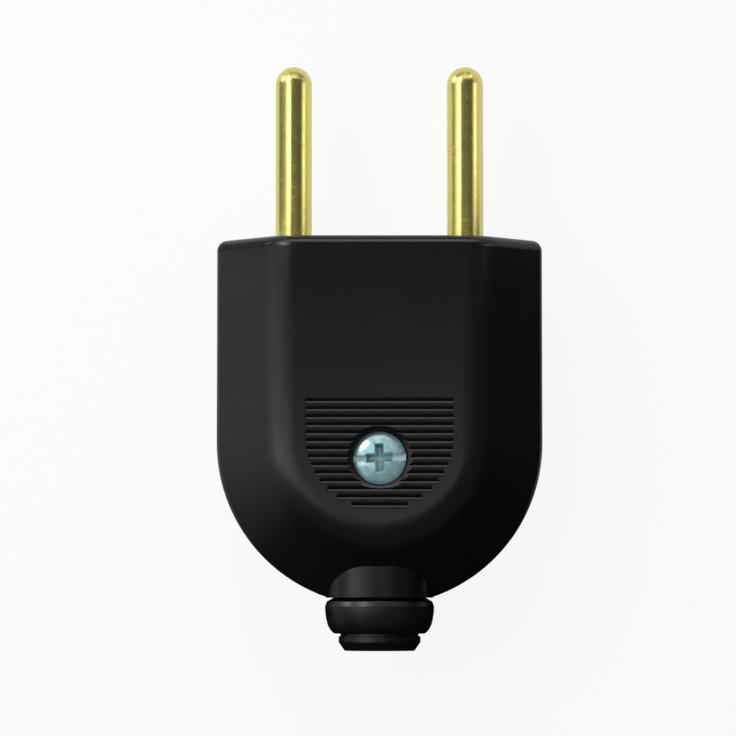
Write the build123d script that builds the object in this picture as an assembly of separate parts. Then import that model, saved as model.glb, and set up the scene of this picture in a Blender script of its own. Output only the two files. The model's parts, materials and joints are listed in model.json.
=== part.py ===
from build123d import *
import os
from math import hypot, radians, sqrt, tan

# Rewirable two-pin plug, in millimetres.
# The origin is the middle of the engagement face, on the parting plane of the two half shells.
# +Y runs along the pins, +X across them and +Z out of the front shell.

# Pins and their wire terminals
PIN_SPACING = 19.0
PIN_DIAMETER = 4.0
PIN_REACH = 19.5
PIN_ROOT_STEP = 0.2
PIN_COLLAR_STEP = 0.7
PIN_SHOULDER = 2.0
TERMINAL_LENGTH = 10.0
TERMINAL_FLAT = 0.6
WIRE_BORE_DIAMETER = 2.8
WIRE_BORE_DEPTH = 7.6
TERMINAL_SCREW_INSET = 6.0
TERMINAL_THREAD = 2.5
TERMINAL_SCREW_LENGTH = 2.0
TERMINAL_HEAD_DIAMETER = 4.2
TERMINAL_HEAD_HEIGHT = 1.3

# Outside of the body
BODY_WIDTH = 35.8
BODY_THICKNESS = 17.0
BODY_STRAIGHT = 22.3
FLAT_WIDTH = 22.0
SIDE_HEIGHT = 2.0
FLAT_EDGE_RADIUS = 5.5
SIDE_EDGE_RADIUS = 1.0
RIM_RADIUS = 1.2
SEAM = 0.18

# Grip grooves on both flats
GRIP_WIDTH = 16.06
GRIP_TOP = 3.82
GRIP_RISE = 0.45
GROOVE_PITCH = 0.866
GROOVE_WIDTH = 0.8
GROOVE_DEPTH = 0.27

# Walls and ribs inside the body
WALL = 2.0
FACE_WALL = 3.0
BULKHEAD = 2.0
BARRIER = 1.4
CRADLE = 1.6
CRADLE_INSET = 2.0
CRADLE_WALL = 1.2
BOSS_WALL = 1.4
TONGUE_WIDTH = 0.7
TONGUE_HEIGHT = 0.7

# Body screw and its nut
SCREW_DROP = 1.93
SCREW_THREAD = 3.0
HEAD_DIAMETER = 5.7
HEAD_HEIGHT = 2.2
HEAD_EDGE = 1.5
HEAD_RECESS = 0.35
MOUTH_WIDTH = 0.5
MOUTH_DEPTH = 0.35
CROSS_LENGTH = 3.2
CROSS_WIDTH = 1.1
CROSS_DEPTH = 1.5
CROSS_TAPER = 14
DRIVE_TURN = 2.5
NUT_WIDTH = 5.5
NUT_HEIGHT = 2.4
NUT_RECESS = 2.1
NUT_CHAMFER = 0.35

# Cord clamp
CORD_DIAMETER = 5.8
CLAMP_EASE = 0.5
CLAMP_THICKNESS = 1.2
CLAMP_EAR = 1.6
CLAMP_WIDTH = 3.8
CLAMP_DROP = 1.4
CLAMP_GAP = 1.2
CLAMP_THREAD = 2.2
CLAMP_SCREW_LENGTH = 4.4
CLAMP_HEAD_DIAMETER = 3.8
CLAMP_HEAD_HEIGHT = 1.3
CORD_REST = 1.6

# Neck of the body and the cord bush in it
NECK_WALL = 0.62
NECK_CORNER = 5.1
NECK_DRAFT = 3
NECK_LIP = 0.09
NECK_END_WALL = 0.9
BUSH_WALL = 1.6
FLANGE_LIP = 0.7
FLANGE_LENGTH = 1.5
COLLAR_DROP = 0.9
COLLAR_LENGTH = 0.4
BARREL_STEP = 0.13
BARREL_LENGTH = 3.52
BARREL_RIM_DROP = 0.2
BARREL_RIM_LENGTH = 0.55
BARREL_CROWN = 0.25
BARREL_ROUNDING = 1.1
BARREL_TAPER = 1.0
WAIST_DROP = 0.2
WAIST_LENGTH = 0.3
TIP_LENGTH = 1.58
TIP_TAPER = 0.65
TIP_TAPER_LENGTH = 0.95

# Clearances, each on one side
FIT = 0.05
END_PLAY = 0.1
HOLE_CLEARANCE = 0.2
TONGUE_CLEARANCE = 0.1

# Screwdriver slots
SLOT_WIDTH = 0.7
SLOT_DEPTH = 0.7

# Radii and half sizes that follow
half_width = BODY_WIDTH / 2
half_thickness = BODY_THICKNESS / 2
grip_half = GRIP_WIDTH / 2
pin_x = PIN_SPACING / 2
pin_r = PIN_DIAMETER / 2
root_r = pin_r + PIN_ROOT_STEP
collar_r = root_r + PIN_COLLAR_STEP
cord_r = CORD_DIAMETER / 2
spigot_r = cord_r + BUSH_WALL
flange_r = spigot_r + FLANGE_LIP
neck_r = flange_r + FIT + NECK_WALL
head_r = HEAD_DIAMETER / 2
counterbore_r = head_r + HOLE_CLEARANCE
nut_r = NUT_WIDTH / sqrt(3)
boss_r = max(nut_r, counterbore_r) + BOSS_WALL
arch_inner = cord_r + CLAMP_EASE
arch_outer = arch_inner + CLAMP_THICKNESS
clamp_head_r = CLAMP_HEAD_DIAMETER / 2

# Places along Y, from the pins to the cord
shoulder_end = -FACE_WALL - PIN_SHOULDER
bulkhead_front = shoulder_end - END_PLAY
bulkhead_rear = bulkhead_front - BULKHEAD
terminal_start = bulkhead_rear - END_PLAY
terminal_end = terminal_start - TERMINAL_LENGTH
terminal_screw_y = terminal_end + TERMINAL_SCREW_INSET
cradle_y = terminal_end + CRADLE_INSET
arc_y = -BODY_STRAIGHT
screw_y = arc_y - SCREW_DROP
clamp_y = screw_y - boss_r - CLAMP_GAP - CLAMP_WIDTH / 2
neck_end = arc_y - sqrt(half_width**2 - neck_r**2) - NECK_LIP
flange_rear = neck_end + NECK_END_WALL
flange_front = flange_rear + FLANGE_LENGTH

# Places along X and Z
clamp_screw_x = sqrt(arch_outer**2 - CLAMP_EAR**2) + clamp_head_r + HOLE_CLEARANCE
clamp_top = CLAMP_EAR - CLAMP_DROP
terminal_flat_z = collar_r - TERMINAL_FLAT
head_seat = half_thickness - HEAD_RECESS - HEAD_HEIGHT
nut_face = NUT_RECESS - half_thickness
nut_seat = nut_face + NUT_HEIGHT


def rod(radius, front, rear, x=0):
    """Round bar along Y between two places."""
    return Pos(x, (front + rear) / 2, 0) * Rot(X=90) * Cylinder(radius, front - rear)


def post(radius, low, high, x=0, y=0):
    """Round bar along Z between two heights."""
    return Pos(x, y, (low + high) / 2) * Cylinder(radius, high - low)


def wall(width, front, rear, x=0):
    """Upright rib through the whole thickness of the body."""
    return Pos(x, (front + rear) / 2, 0) * Box(width, front - rear, BODY_THICKNESS)


def quarter_section(inset=0):
    """Upper right quarter of the body's section, with every side moved in by the inset."""
    rise = half_thickness - SIDE_HEIGHT
    run = half_width - FLAT_WIDTH / 2
    reach = rise * half_width + run * SIDE_HEIGHT - inset * hypot(rise, run)
    side = half_width - inset
    top = half_thickness - inset
    side_corner = (side, (reach - rise * side) / run)
    flat_corner = ((reach - run * top) / rise, top)
    return make_face(Polyline((0, 0), (side, 0), side_corner, flat_corner, (0, top), close=True))


def body_section():
    """Quarter section of the outside, with the bevel rounded into the flat and the side."""
    section = quarter_section()
    for corner, radius in (
        ((half_width, SIDE_HEIGHT), SIDE_EDGE_RADIUS),
        ((FLAT_WIDTH / 2, half_thickness), FLAT_EDGE_RADIUS),
    ):
        section = fillet(section.vertices().sort_by_distance((*corner, 0))[0], radius)
    return section


def sweep_round(profile, start=0):
    """Runs a profile down both straight sides and round the end of the body."""
    side = extrude(Plane.XZ.offset(start) * profile, BODY_STRAIGHT - start)
    end_axis = Axis((0, arc_y, 0), (0, 0, -1))
    end = revolve(Plane.XZ.offset(BODY_STRAIGHT) * profile, end_axis, 180)
    return side + mirror(side, Plane.YZ) + end


def grip_grooves():
    """Grooves across the flat that leave round ridges, shorter where the grip rounds off."""
    reach = GROOVE_WIDTH / 2
    bottom = (0, -GROOVE_DEPTH)
    right = TangentArc((reach, 0), bottom, tangent=(-1, 0))
    left = TangentArc((-reach, 0), bottom, tangent=(1, 0))
    above = Polyline((-reach, 0), (-reach, GROOVE_DEPTH), (reach, GROOVE_DEPTH), (reach, 0))
    groove = make_face(Curve() + [right, left, above])
    count = int((GRIP_TOP + grip_half) / GROOVE_PITCH) + 1
    grooves = []
    for row in range(count):
        rise = GRIP_TOP - row * GROOVE_PITCH
        length = grip_half if rise > 0 else sqrt(grip_half**2 - rise**2)
        place = Plane.YZ * Pos(arc_y + GRIP_RISE + rise, half_thickness)
        grooves.append(extrude(place * groove, length, both=True))
    return grooves


def seam_profile():
    """Corner taken off the outer edge of the parting plane."""
    edge = half_width - SEAM
    outside = half_width + SEAM
    return make_face(Polyline((edge, 0), (outside, 0), (outside, 2 * SEAM), close=True))


def shell_blank():
    """Solid half of the body above the parting plane, with its neck, rim, seam and grip."""
    body = sweep_round(body_section())
    rim = body.edges().filter_by_position(Axis.Y, -FIT, FIT).filter_by(lambda edge: edge.center().Z > FIT)
    body = fillet(rim, RIM_RADIUS)
    growth = (arc_y - neck_end) * tan(radians(NECK_DRAFT))
    root = 2 * (neck_r + growth)
    section = RectangleRounded(root, root, NECK_CORNER + growth)
    neck = extrude(Plane.XZ.offset(BODY_STRAIGHT) * section, arc_y - neck_end, taper=NECK_DRAFT)
    neck = split(neck, Plane.XY, keep=Keep.TOP)
    body = split(body + neck, Plane.XZ.offset(-neck_end), keep=Keep.BOTTOM)
    return body - sweep_round(seam_profile()) - grip_grooves()


def shell_room():
    """Room inside one half, less the ribs and the boss that stand in it."""
    room = sweep_round(quarter_section(WALL), FACE_WALL)
    room -= wall(BODY_WIDTH, bulkhead_front, bulkhead_rear)
    room -= wall(BARRIER, bulkhead_rear, screw_y)
    cradle_width = 2 * (collar_r + FIT + CRADLE_WALL)
    for x in (-pin_x, pin_x):
        room -= wall(cradle_width, cradle_y + CRADLE / 2, cradle_y - CRADLE / 2, x)
    return room - post(boss_r, -half_thickness, half_thickness, y=screw_y)


def pin_seats():
    """Room for both pins: the face wall, the bulkhead and the cradles hold them."""
    seats = []
    for x in (-pin_x, pin_x):
        seats.append(rod(root_r + FIT, FACE_WALL, -FACE_WALL, x))
        seats.append(rod(collar_r + FIT, -FACE_WALL, bulkhead_front, x))
        seats.append(rod(pin_r + FIT, shoulder_end, terminal_start, x))
        seats.append(rod(collar_r + FIT, bulkhead_rear, terminal_end - FIT, x))
    return seats


def bush_seat():
    """Bore of the neck with the groove that holds the flange of the bush."""
    bore = rod(spigot_r + FIT, clamp_y - CLAMP_WIDTH / 2, neck_end - NECK_LIP)
    return bore + rod(flange_r + FIT, flange_front + FIT, flange_rear)


def tongue(clearance=0):
    """Ridge along the middle of the side wall, left out where the neck is."""
    bar = Rectangle(TONGUE_WIDTH + 2 * clearance, 2 * (TONGUE_HEIGHT + clearance))
    ridge = sweep_round(Pos(half_width - WALL / 2, 0) * bar, FACE_WALL - clearance)
    return ridge - wall(2 * (neck_r - clearance), arc_y, neck_end - BODY_WIDTH)


def front_shell():
    """Front half, with the sunk seat of the screw head and the groove for the tongue."""
    half = shell_blank() - shell_room() - pin_seats() - bush_seat()
    half -= post(SCREW_THREAD / 2 + HOLE_CLEARANCE, -half_thickness, half_thickness, y=screw_y)
    half -= post(counterbore_r, head_seat, half_thickness, y=screw_y)
    mouth = Cone(counterbore_r, counterbore_r + 2 * MOUTH_WIDTH, 2 * MOUTH_DEPTH)
    half -= Pos(0, screw_y, half_thickness) * mouth
    return half - tongue(TONGUE_CLEARANCE)


def rear_shell():
    """Rear half, with the nut pocket, the posts of the cord clamp and the tongue."""
    room = shell_room()
    pilots = []
    for x in (-clamp_screw_x, clamp_screw_x):
        room -= post(CLAMP_WIDTH / 2, CLAMP_DROP, half_thickness, x, clamp_y)
        pilot_end = CLAMP_SCREW_LENGTH - clamp_top + HOLE_CLEARANCE
        pilots.append(post(CLAMP_THREAD / 2 + FIT, CLAMP_DROP, pilot_end, x, clamp_y))
    rest = wall(2 * arch_inner, clamp_y + CORD_REST / 2, clamp_y - CORD_REST / 2)
    rest = split(rest, Plane.XY.offset(CLAMP_DROP), keep=Keep.TOP)
    room -= rest - rod(cord_r, clamp_y + CORD_REST, clamp_y - CORD_REST)
    half = shell_blank() - room - pin_seats() - bush_seat() - pilots
    half -= post(SCREW_THREAD / 2 + HOLE_CLEARANCE, -half_thickness, half_thickness, y=screw_y)
    pocket = extrude(RegularPolygon(nut_r + FIT, 6), half_thickness + nut_seat)
    half -= Pos(0, screw_y, -nut_seat) * pocket
    return mirror(half + tongue(), Plane.XY)


def pin(side):
    """Turned pin: round tip, root in the face wall, shoulder, waist and bored terminal."""
    outline = Polyline(
        (pin_r, PIN_REACH - pin_r),
        (pin_r, 0),
        (root_r, 0),
        (root_r, -FACE_WALL),
        (collar_r, -FACE_WALL),
        (collar_r, shoulder_end),
        (pin_r, shoulder_end),
        (pin_r, terminal_start),
        (collar_r, terminal_start),
        (collar_r, terminal_end),
        (0, terminal_end),
        (0, PIN_REACH),
    )
    tip = TangentArc((0, PIN_REACH), (pin_r, PIN_REACH - pin_r), tangent=(1, 0))
    turned = revolve(make_face(outline + tip), Axis.Y)
    turned -= rod(WIRE_BORE_DIAMETER / 2, terminal_end + WIRE_BORE_DEPTH, terminal_end)
    flat = wall(2 * collar_r, terminal_start, terminal_end)
    turned -= split(flat, Plane.XY.offset(terminal_flat_z), keep=Keep.TOP)
    turned -= post(TERMINAL_THREAD / 2 + FIT, 0, collar_r, y=terminal_screw_y)
    return Pos(side * pin_x, 0, 0) * turned


def slotted_screw(thread, length, head_diameter, head_height):
    """Cheese head screw pointing down, with the underside of its head at the origin."""
    screw = post(head_diameter / 2, 0, head_height) + post(thread / 2, -length, 0)
    return screw - Pos(0, 0, head_height) * Box(head_diameter, SLOT_WIDTH, 2 * SLOT_DEPTH)


def terminal_screw(side):
    screw = slotted_screw(
        TERMINAL_THREAD, TERMINAL_SCREW_LENGTH, TERMINAL_HEAD_DIAMETER, TERMINAL_HEAD_HEIGHT
    )
    return Pos(side * pin_x, terminal_screw_y, terminal_flat_z) * screw


def clamp_screw(side):
    screw = slotted_screw(CLAMP_THREAD, CLAMP_SCREW_LENGTH, CLAMP_HEAD_DIAMETER, CLAMP_HEAD_HEIGHT)
    return Pos(side * clamp_screw_x, clamp_y, clamp_top) * screw


def body_screw():
    """Pan head screw with a slot and a cross recess, long enough to fill the nut."""
    dome = TangentArc((0, HEAD_HEIGHT), (head_r, HEAD_EDGE), tangent=(1, 0))
    sides = Polyline((head_r, HEAD_EDGE), (head_r, 0), (0, 0), (0, HEAD_HEIGHT))
    screw = revolve(Plane.XZ * make_face(dome + sides), Axis.Z)
    screw += post(SCREW_THREAD / 2, nut_face - head_seat, 0)
    top = Pos(0, 0, HEAD_HEIGHT)
    screw -= top * Box(HEAD_DIAMETER, SLOT_WIDTH, 2 * SLOT_DEPTH)
    cross = Rectangle(CROSS_LENGTH, CROSS_WIDTH) + Rectangle(CROSS_WIDTH, CROSS_LENGTH)
    screw -= top * extrude(cross, -CROSS_DEPTH, taper=CROSS_TAPER)
    return Pos(0, screw_y, head_seat) * Rot(Z=DRIVE_TURN) * screw


def body_nut():
    """Hexagon nut with its corners taken off, tight in the pocket of the rear shell."""
    blank = extrude(RegularPolygon(nut_r, 6), NUT_HEIGHT)
    turned = chamfer(post(nut_r, 0, NUT_HEIGHT).edges(), NUT_CHAMFER)
    nut = (blank & turned) - post(SCREW_THREAD / 2 + FIT, 0, NUT_HEIGHT)
    return Pos(0, screw_y, nut_face) * nut


def cord_clamp():
    """Saddle over the cord with an ear on each side for its screws."""
    reach = clamp_screw_x + CLAMP_WIDTH / 2
    section = Circle(arch_outer) + Rectangle(2 * reach, 2 * CLAMP_EAR) - Circle(arch_inner)
    saddle = extrude(Plane.XZ * section, CLAMP_WIDTH / 2, both=True)
    saddle = split(saddle, Plane.XY, keep=Keep.TOP)
    saddle &= extrude(SlotCenterToCenter(2 * clamp_screw_x, CLAMP_WIDTH), arch_outer)
    for x in (-clamp_screw_x, clamp_screw_x):
        saddle -= post(CLAMP_THREAD / 2 + HOLE_CLEARANCE, 0, CLAMP_EAR, x)
    return Pos(0, clamp_y, -CLAMP_DROP) * saddle


def cord_bush():
    """Sleeve with a flange in the neck, a round-edged barrel outside it and a ring at the tip."""
    barrel_r = neck_r + BARREL_STEP
    collar_end = neck_end - COLLAR_LENGTH
    barrel_end = collar_end - BARREL_LENGTH
    waist_end = barrel_end - WAIST_LENGTH
    tip_end = waist_end - TIP_LENGTH
    upper = Polyline(
        (cord_r, flange_front),
        (flange_r, flange_front),
        (flange_r, flange_rear),
        (spigot_r, flange_rear),
        (spigot_r, neck_end),
        (barrel_r - COLLAR_DROP, neck_end),
        (barrel_r - BARREL_RIM_DROP, collar_end),
        (barrel_r, collar_end - BARREL_RIM_LENGTH),
    )
    crown_end = (barrel_r - BARREL_CROWN, barrel_end + BARREL_ROUNDING)
    crown = TangentArc(upper @ 1, crown_end, tangent=(0, -1))
    rounding = TangentArc(crown @ 1, (barrel_r - BARREL_TAPER, barrel_end), tangent=crown % 1)
    lower = Polyline(
        (barrel_r - BARREL_TAPER, barrel_end),
        (spigot_r - WAIST_DROP, barrel_end),
        (spigot_r - WAIST_DROP, waist_end),
        (spigot_r, waist_end),
        (spigot_r, tip_end + TIP_TAPER_LENGTH),
        (spigot_r - TIP_TAPER, tip_end),
        (cord_r, tip_end),
        (cord_r, flange_front),
    )
    return revolve(make_face(Curve() + [upper, crown, rounding, lower]), Axis.Y)


def plug_pieces():
    """Every piece of the plug by name, in its place."""
    pieces = {
        "front_shell": front_shell(),
        "rear_shell": rear_shell(),
        "body_screw": body_screw(),
        "body_nut": body_nut(),
        "cord_clamp": cord_clamp(),
        "cord_bush": cord_bush(),
    }
    for name, side in (("left", -1), ("right", 1)):
        pieces["pin_" + name] = pin(side)
        pieces["terminal_screw_" + name] = terminal_screw(side)
        pieces["clamp_screw_" + name] = clamp_screw(side)
    return pieces


os.makedirs("parts", exist_ok=True)
for name, piece in plug_pieces().items():
    export_step(piece, f"parts/{name}.step")
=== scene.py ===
import json
from math import cos, pi, radians, sin
import bpy
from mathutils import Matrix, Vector


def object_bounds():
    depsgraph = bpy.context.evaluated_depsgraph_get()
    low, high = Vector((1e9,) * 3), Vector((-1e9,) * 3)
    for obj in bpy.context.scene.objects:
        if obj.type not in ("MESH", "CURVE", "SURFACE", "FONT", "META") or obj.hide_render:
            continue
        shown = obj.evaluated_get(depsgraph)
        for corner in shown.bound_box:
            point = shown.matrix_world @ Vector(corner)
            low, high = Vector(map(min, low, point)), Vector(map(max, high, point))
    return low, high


MM = 0.001
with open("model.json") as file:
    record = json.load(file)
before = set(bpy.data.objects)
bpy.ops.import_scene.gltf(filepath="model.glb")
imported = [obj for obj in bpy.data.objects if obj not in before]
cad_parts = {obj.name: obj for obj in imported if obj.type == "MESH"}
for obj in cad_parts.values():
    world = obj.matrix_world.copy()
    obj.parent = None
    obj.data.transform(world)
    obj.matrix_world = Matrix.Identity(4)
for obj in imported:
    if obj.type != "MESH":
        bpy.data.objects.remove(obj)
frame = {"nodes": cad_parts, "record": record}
cad_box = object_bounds()
nodes = frame["nodes"]

# Camera, read from the photograph
FRAME_PIXELS = 736
PIXELS_PER_MM = 9.053
FACE_PIXEL = (379.5, 241.5)
CAMERA_PITCH = 3.8
CAMERA_NEAR = 10 * MM
LENS = 170.0
SENSOR = 36.0

# Floor and backdrop, and how white they are to the camera and in reflections
AIM = Vector((0, -14, 0)) * MM
FLOOR_SIZE = 6.0
BACKDROP_RADIUS = 2.0
BACKDROP_HEIGHT = 1.1
ARC_STEPS = 48
PALE = 0.9
WHITE_SHARE = 0.9
FLOOR_GLEAM = 0.35
BACKDROP_GLEAM = 0.45

# Flags round the cord end, with the compass angles from clear to black on each side
ROUND_END = Vector((0, -22.3, 0)) * MM
FLAG_RADIUS = 60 * MM
FLAG_TOP = 40 * MM
FLAG_START = 8 * MM
FLAG_LIFT = 0.05 * MM
LEFT_FADE = (-174, -136)
RIGHT_FADE = (-4, -30)

# Flags beside the pins and beyond their tips, and the share of light that they stop
PIN_FLAG = (Vector((-42, 3, 0)) * MM, Vector((-42, 32, 0)) * MM)
PIN_FLAG_TOP = 25 * MM
PIN_FLAG_COVER = 0.75
TIP_FLAG = (Vector((-24, 46, 0)) * MM, Vector((24, 46, 0)) * MM)
TIP_FLAG_LOW = 4 * MM
TIP_FLAG_TOP = 25 * MM
TIP_FLAG_COVER = 0.78

# Lamps
STUDIO_DISTANCE = 1.2
OVERHEAD_HEIGHT = 0.4
STRIP_HEIGHT = 0.126
LEFT_PIN = Vector((-9.5, 15, 2)) * MM
RIGHT_PIN = Vector((9.5, 15, 2)) * MM
WORLD_LIGHT = 0.09

# Materials: how noise is drawn out along the plug or across it, and how finely edges are felt out
ALONG = (1, 0.02, 1)
ACROSS = (0.05, 1, 0.05)
BLACK_GLOSS = 0.36
EDGE_SAMPLES = 6
RECESS_SAMPLES = 8
RECESS_REACH = 0.9 * MM


class Look:
    """A procedural material, with short calls that add nodes and join them."""

    def __init__(self, name):
        self.material = bpy.data.materials.new(name)
        self.material.use_nodes = True
        self.tree = self.material.node_tree
        self.shader = self.tree.nodes["Principled BSDF"]

    def feed(self, socket, value):
        if isinstance(value, bpy.types.NodeSocket):
            self.tree.links.new(value, socket)
        else:
            socket.default_value = value

    def add(self, kind, sockets, **settings):
        made = self.tree.nodes.new("ShaderNode" + kind)
        for key, value in settings.items():
            setattr(made, key, value)
        for key, value in sockets.items():
            self.feed(made.inputs[key], value)
        return made

    def set(self, **sockets):
        for key, value in sockets.items():
            self.feed(self.shader.inputs[key.replace("_", " ")], value)

    def mix(self, share, first, second):
        """Shows two shaders, with such a share of the second."""
        mixed = self.add("MixShader", {0: share, 1: first, 2: second}).outputs["Shader"]
        self.feed(self.tree.nodes["Material Output"].inputs["Surface"], mixed)

    def place(self, stretch=(1, 1, 1)):
        """Place on the part in millimetres, squeezed or stretched along its axes."""
        spot = self.add("TexCoord", {}).outputs["Object"]
        scale = [factor / MM for factor in stretch]
        return self.add("VectorMath", {0: spot, 1: scale}, operation="MULTIPLY").outputs[0]

    def compass(self, centre):
        """Compass angle round a point, in radians."""
        spot = self.add("TexCoord", {}).outputs["Object"]
        reach = self.add("VectorMath", {0: spot, 1: centre}, operation="SUBTRACT").outputs[0]
        x, y = self.add("SeparateXYZ", {0: reach}).outputs[:2]
        return self.math("ARCTAN2", y, x)

    def noise(self, place, scale, detail=2.0):
        """Soft random value from 0 to 1, with so many features to a millimetre."""
        sockets = {"Vector": place, "Scale": scale, "Detail": detail}
        return self.add("TexNoise", sockets).outputs["Fac"]

    def span(self, value, low, high, start=0.0, end=1.0):
        """Moves a value from start..end to low..high."""
        sockets = {"Value": value, "From Min": start, "From Max": end, "To Min": low, "To Max": high}
        return self.add("MapRange", sockets).outputs["Result"]

    def math(self, operation, first, second=0.0):
        return self.add("Math", {0: first, 1: second}, operation=operation).outputs[0]

    def blend(self, first, second, share):
        """Mean of two values, with such a share of the first."""
        rest = self.math("MULTIPLY", second, 1 - share)
        return self.math("ADD", self.math("MULTIPLY", first, share), rest)

    def ramp(self, value, *stops):
        """Colour by value; each stop is a position and a colour."""
        made = self.add("ValToRGB", {"Fac": value})
        points = made.color_ramp.elements
        while len(points) < len(stops):
            points.new(0.5)
        for point, (position, colour) in zip(points, stops):
            point.position = position
            point.color = (*colour, 1)
        return made.outputs["Color"]

    def rounding(self, radius):
        """Normal with every edge rounded off by so many millimetres."""
        return self.add("Bevel", {"Radius": radius * MM}, samples=EDGE_SAMPLES).outputs["Normal"]

    def edges(self, rounded):
        """Near 1 on an edge and 0 away from it."""
        flat = self.add("NewGeometry", {}).outputs["Normal"]
        turn = self.add("VectorMath", {0: rounded, 1: flat}, operation="DOT_PRODUCT").outputs["Value"]
        return self.span(turn, 1.0, 0.0, start=0.8, end=0.99)

    def openness(self):
        """Near 1 on an open surface and less in a recess."""
        sockets = {"Distance": RECESS_REACH}
        return self.add("AmbientOcclusion", sockets, samples=RECESS_SAMPLES).outputs["AO"]

    def bump(self, height, depth, normal):
        """Relief of so many millimetres on top of a normal."""
        sockets = {"Height": height, "Distance": depth * MM, "Strength": 1.0, "Normal": normal}
        return self.add("Bump", sockets).outputs["Normal"]


def black_plastic():
    """Satin moulded plastic: spark-eroded grain, faint cloudiness and rubbed edges."""
    look = Look("black_plastic")
    spot = look.place()
    grain = look.noise(spot, scale=7.0, detail=3.0)
    cloud = look.noise(spot, scale=0.18, detail=3.0)
    rounded = look.rounding(0.12)
    rub = look.math("MULTIPLY", look.edges(rounded), look.noise(spot, scale=1.6))
    tone = look.math("ADD", look.span(cloud, 0.2, 0.5), look.math("MULTIPLY", rub, 0.5))
    look.set(
        Base_Color=look.ramp(tone, (0.0, (0.005, 0.005, 0.0052)), (1.0, (0.0105, 0.0105, 0.0108))),
        Roughness=look.span(look.math("ADD", cloud, grain), 0.19, 0.25, start=0.6, end=1.4),
        Specular_IOR_Level=BLACK_GLOSS,
        Normal=look.bump(grain, depth=0.006, normal=rounded),
    )
    return look.material


def brass():
    """Drawn and turned brass: streaks along the pin, fine rings round it, small dull spots."""
    look = Look("brass")
    streaks = look.noise(look.place(ALONG), scale=6.0, detail=3.0)
    rings = look.noise(look.place(ACROSS), scale=9.0)
    spots = look.noise(look.place(), scale=1.1, detail=4.0)
    tone = look.blend(streaks, spots, share=0.6)
    dull = look.blend(rings, spots, share=0.4)
    relief = look.math("ADD", streaks, rings)
    look.set(
        Base_Color=look.ramp(
            tone, (0.3, (0.76, 0.76, 0.27)), (0.5, (0.82, 0.75, 0.23)), (0.7, (0.85, 0.70, 0.18))
        ),
        Metallic=1.0,
        Roughness=look.span(dull, 0.20, 0.29, start=0.3, end=0.7),
        Normal=look.bump(relief, depth=0.0012, normal=look.rounding(0.08)),
    )
    return look.material


def zinc():
    """Bluish passivated zinc plating, slightly mottled, with rubbed edges and painted shade in its
    recesses.
    """
    look = Look("zinc")
    spot = look.place()
    mottle = look.noise(spot, scale=1.4, detail=4.0)
    fine = look.noise(spot, scale=9.0, detail=3.0)
    rounded = look.rounding(0.08)
    patches = look.span(mottle, 0.2, 0.9, start=0.25, end=0.75)
    # Painted shade: the colour darkens where ambient occlusion finds a recess, such as the slot and
    # the cross
    painted_recess_shade = look.span(look.openness(), 0.2, 1.0, start=0.25, end=0.9)
    patches_and_recess_shade = look.math("MULTIPLY", patches, painted_recess_shade)
    tone = look.math("ADD", patches_and_recess_shade, look.math("MULTIPLY", look.edges(rounded), 0.25))
    relief = look.math("ADD", mottle, fine)
    look.set(
        Base_Color=look.ramp(
            tone, (0.0, (0.19, 0.38, 0.41)), (0.5, (0.44, 0.76, 0.80)), (0.9, (0.62, 0.89, 0.92))
        ),
        Metallic=0.5,
        Roughness=look.span(fine, 0.55, 0.68, start=0.3, end=0.7),
        Coat_Weight=1.0,
        Coat_IOR=2.2,
        Coat_Roughness=0.12,
        Normal=look.bump(relief, depth=0.004, normal=rounded),
    )
    return look.material


def rubber():
    """Smooth black moulded rubber with faint mould rings and a little bloom."""
    look = Look("rubber")
    spot = look.place()
    bloom = look.noise(spot, scale=0.5, detail=4.0)
    fine = look.noise(spot, scale=8.0)
    rings = look.noise(look.place(ACROSS), scale=3.5)
    relief = look.math("ADD", rings, fine)
    look.set(
        Base_Color=look.ramp(bloom, (0.3, (0.006, 0.006, 0.0063)), (0.75, (0.011, 0.011, 0.0114))),
        Roughness=look.span(look.math("ADD", bloom, fine), 0.26, 0.36, start=0.6, end=1.4),
        Specular_IOR_Level=BLACK_GLOSS,
        Normal=look.bump(relief, depth=0.004, normal=look.rounding(0.1)),
    )
    return look.material


def pale(name, gleam):
    """Matt white that shows mostly as plain white to the camera, and less so in reflections."""
    look = Look(name)
    look.set(Base_Color=(PALE, PALE, PALE, 1), Roughness=0.9, Specular_IOR_Level=0.1)
    rays = look.add("LightPath", {}).outputs
    share = look.math("MULTIPLY", rays["Is Camera Ray"], WHITE_SHARE)
    for other in ("Is Glossy Ray", "Is Transmission Ray"):
        share = look.math("MAXIMUM", share, look.math("MULTIPLY", rays[other], gleam))
    white = look.add("Emission", {"Color": (1, 1, 1, 1), "Strength": 1.0})
    look.mix(share, look.shader.outputs["BSDF"], white.outputs["Emission"])
    return look.material


def veil(name, cover=1.0, fades=()):
    """Black that stops such a share of light, and thins out on the sides that fade."""
    look = Look(name)
    look.set(Base_Color=(0, 0, 0, 1), Roughness=1.0, Specular_IOR_Level=0.0)
    for start, end in fades:
        turn = look.compass(ROUND_END)
        side = look.span(turn, 0.0, 1.0, start=radians(start), end=radians(end))
        cover = look.math("MINIMUM", cover, side)
    clear = look.add("BsdfTransparent", {})
    look.mix(cover, clear.outputs["BSDF"], look.shader.outputs["BSDF"])
    return look.material


def camera():
    """Looks down on the plug from slightly towards its cord end."""
    centre = FRAME_PIXELS / 2
    target = Vector((
        (centre - FACE_PIXEL[0]) / PIXELS_PER_MM,
        (FACE_PIXEL[1] - centre) / PIXELS_PER_MM,
        0,
    )) * MM
    distance = FRAME_PIXELS / PIXELS_PER_MM * LENS / SENSOR * MM
    tilt = radians(CAMERA_PITCH)
    data = bpy.data.cameras.new("camera")
    data.lens = LENS
    data.sensor_width = SENSOR
    data.clip_start = CAMERA_NEAR
    seat = bpy.data.objects.new("camera", data)
    seat.location = target + distance * Vector((0, -sin(tilt), cos(tilt)))
    seat.rotation_euler = (tilt, 0, 0)
    bpy.context.scene.collection.objects.link(seat)
    bpy.context.scene.camera = seat


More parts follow.
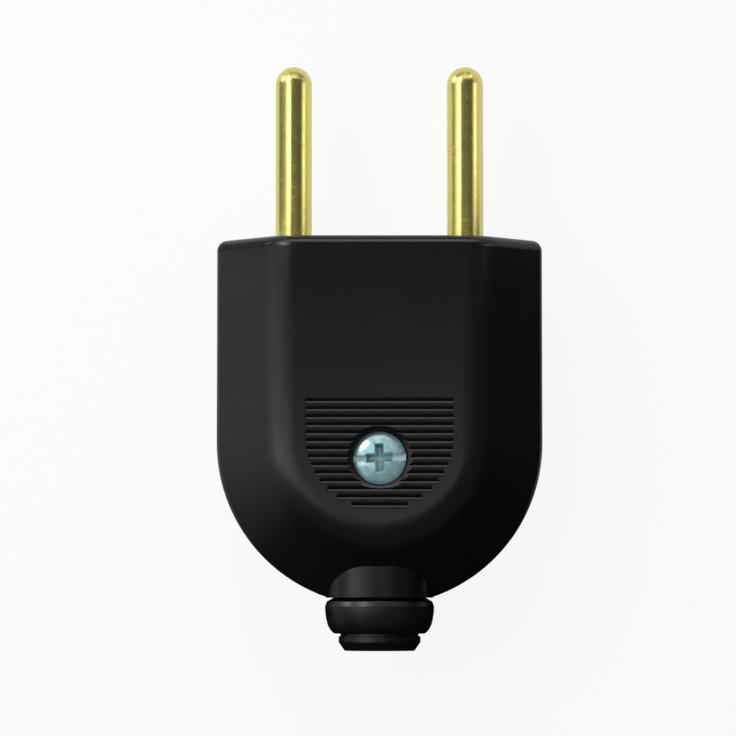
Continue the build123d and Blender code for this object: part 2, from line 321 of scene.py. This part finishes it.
def arc(centre, radius, start, end):
    """Points on a circle between two compass angles in degrees."""
    angles = [radians(start + (end - start) * step / ARC_STEPS) for step in range(ARC_STEPS + 1)]
    return [centre + radius * Vector((cos(angle), sin(angle), 0)) for angle in angles]


def upright(name, path, low, high, material):
    """Stands a thin wall on a path."""
    points = []
    for spot in path:
        points += [(spot.x, spot.y, low), (spot.x, spot.y, high)]
    faces = [(k, k + 2, k + 3, k + 1) for k in range(0, len(points) - 2, 2)]
    return scenery(name, points, faces, material)


def level(name, path, height, material):
    """Lays a thin sheet inside a path."""
    points = [(spot.x, spot.y, height) for spot in path]
    return scenery(name, points, [range(len(points))], material)


def scenery(name, points, faces, material):
    """Adds a surface that isn't part of the plug."""
    mesh = bpy.data.meshes.new(name)
    mesh.from_pydata(points, [], faces)
    mesh.materials.append(material)
    made = bpy.data.objects.new(name, mesh)
    bpy.context.scene.collection.objects.link(made)
    return made


def stage():
    """Pale floor and backdrop, and black flags that keep white out of some reflections."""
    low = cad_box[0].z
    bpy.ops.mesh.primitive_plane_add(size=FLOOR_SIZE, location=(0, 0, low))
    plane = bpy.context.object
    plane.name = "floor"
    plane.data.materials.append(pale("floor", FLOOR_GLEAM))
    ring = arc(AIM, BACKDROP_RADIUS, 0, 360)
    upright("backdrop", ring, low, BACKDROP_HEIGHT, pale("backdrop", BACKDROP_GLEAM))
    end = arc(ROUND_END, FLAG_RADIUS, 0, -180)
    side = [Vector((FLAG_RADIUS, FLAG_START, 0))] + end
    wall = veil("flag", fades=[LEFT_FADE])
    sheet = veil("floor_flag", fades=[LEFT_FADE, RIGHT_FADE])
    for flag in (
        upright("flag", side, low, FLAG_TOP, wall),
        level("floor_flag", end, low + FLAG_LIFT, sheet),
        upright("pin_flag", PIN_FLAG, low, PIN_FLAG_TOP, veil("pin_flag", PIN_FLAG_COVER)),
        upright("tip_flag", TIP_FLAG, TIP_FLAG_LOW, TIP_FLAG_TOP, veil("tip_flag", TIP_FLAG_COVER)),
    ):
        flag.visible_camera = False
        flag.visible_diffuse = False
        flag.visible_shadow = False


def softbox(name, aim, distance, azimuth, elevation, size, radiance, soft=0.5):
    """Rectangular lamp that faces a spot from a compass angle and a height in degrees."""
    turn, climb = radians(azimuth), radians(elevation)
    direction = Vector((cos(climb) * cos(turn), cos(climb) * sin(turn), sin(climb)))
    width, height = size
    lamp = bpy.data.lights.new(name, "AREA")
    lamp.shape = "RECTANGLE"
    lamp.size = width
    lamp.size_y = height
    lamp.energy = radiance * pi * width * height
    fade(lamp, soft)
    seat = bpy.data.objects.new(name, lamp)
    seat.location = aim + distance * direction
    seat.rotation_euler = direction.to_track_quat("Z", "Y").to_euler()
    seat.visible_camera = False
    bpy.context.scene.collection.objects.link(seat)


def overhead(name, x, y, height, **lamp):
    """Lamp that faces straight down on a spot in millimetres."""
    softbox(name, Vector((x, y, 0)) * MM, height, azimuth=180, elevation=90, **lamp)


def fade(lamp, soft):
    """Dims a lamp towards its edges, over so great a share of its width and height."""
    lamp.use_nodes = True
    tree = lamp.node_tree
    place = tree.nodes.new("ShaderNodeSeparateXYZ")
    spot = tree.nodes.new("ShaderNodeNewGeometry").outputs["Parametric"]
    tree.links.new(spot, place.inputs[0])
    product = tree.nodes.new("ShaderNodeMath")
    product.operation = "MULTIPLY"
    for axis in range(2):
        # Share of the way from the nearest edge, which is a half in the middle
        inwards = tree.nodes.new("ShaderNodeMath")
        inwards.operation = "PINGPONG"
        inwards.inputs[1].default_value = 0.5
        rise = tree.nodes.new("ShaderNodeMapRange")
        rise.interpolation_type = "SMOOTHSTEP"
        rise.inputs["From Max"].default_value = soft
        tree.links.new(place.outputs[axis], inwards.inputs[0])
        tree.links.new(inwards.outputs[0], rise.inputs["Value"])
        tree.links.new(rise.outputs["Result"], product.inputs[axis])
    tree.links.new(product.outputs[0], tree.nodes["Emission"].inputs["Strength"])


def lights():
    """Lamps that stand where the photograph's reflections show them."""
    far = STUDIO_DISTANCE
    high = OVERHEAD_HEIGHT
    softbox("window", AIM, far, azimuth=176, elevation=33, size=(2.0, 1.4), radiance=0.80)
    softbox("key", AIM, far, azimuth=138, elevation=42, size=(0.6, 0.6), radiance=5.8, soft=0.27)
    softbox("low", AIM, far, azimuth=149, elevation=7, size=(0.6, 0.3), radiance=15.0)
    overhead("strip", -128, -34, STRIP_HEIGHT, size=(0.25, 0.068), radiance=1.75, soft=0.28)
    softbox("top", AIM, far, azimuth=90, elevation=30, size=(2.4, 1.1), radiance=3.3)
    overhead("over", 30, -29, high, size=(0.17, 0.04), radiance=4.8)
    overhead("over_left", -60, -82, high, size=(0.12, 0.10), radiance=1.3)
    overhead("over_right", 150, -5, high, size=(0.17, 0.09), radiance=0.45)
    softbox(
        "pin_lamp_left", LEFT_PIN, 0.08,
        azimuth=170, elevation=59, size=(0.030, 0.038), radiance=4.6, soft=0.35,
    )
    softbox(
        "pin_lamp_right", RIGHT_PIN, 0.12,
        azimuth=7, elevation=26, size=(0.034, 0.068), radiance=1.25, soft=0.2,
    )


def sky():
    """Faint even light from all round."""
    world = bpy.data.worlds.new("world")
    bpy.context.scene.world = world
    world.use_nodes = True
    back = world.node_tree.nodes["Background"]
    back.inputs["Color"].default_value = (1, 1, 1, 1)
    back.inputs["Strength"].default_value = WORLD_LIGHT


finishes = {"shell": black_plastic(), "pins": brass(), "fasteners": zinc(), "bush": rubber()}
for part in frame["record"]["subparts"]:
    nodes[part["node"]].material_slots[0].material = finishes[part["material_slot"]]
camera()
stage()
lights()
sky()
bpy.context.scene.view_settings.view_transform = "Standard"
